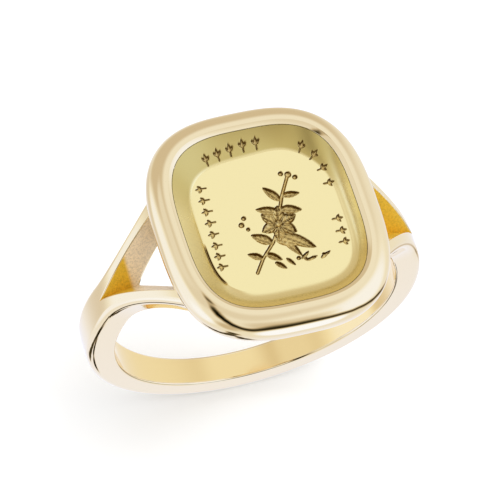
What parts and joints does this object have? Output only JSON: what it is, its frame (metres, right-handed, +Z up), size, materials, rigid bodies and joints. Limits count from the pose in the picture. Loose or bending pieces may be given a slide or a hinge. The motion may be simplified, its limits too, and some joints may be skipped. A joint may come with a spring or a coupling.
{
  "type": "signet ring",
  "caption": "Split-shank signet ring with a cushion-shaped head: a rounded bezel frame around a recessed flat seal face, held over the finger by four shoulder arms.",
  "frame": {"origin": "centre of the finger hole, midway across the band, which is where the finger holds the ring", "axes": "+Z up from the shank to the seal face; +Y along the finger, which is the ring's short way; X across the finger, from shoulder to shoulder"},
  "size_m": [0.0204, 0.0146, 0.0202],
  "materials": {
    "gold_polished": "polished pale yellow gold",
    "gold_seal": "mirror-polished yellow gold seal plate"
  },
  "bodies": {
    "root": {"shank": "gold_polished", "shoulder_arm_left_front": "gold_polished", "shoulder_arm_left_rear": "gold_polished", "shoulder_arm_right_front": "gold_polished", "shoulder_arm_right_rear": "gold_polished", "gallery_cheek_left": "gold_polished", "gallery_cheek_right": "gold_polished", "bezel_frame": "gold_polished", "bearer_ring": "gold_polished", "seal_plate": "gold_seal"}
  },
  "joints": []
}
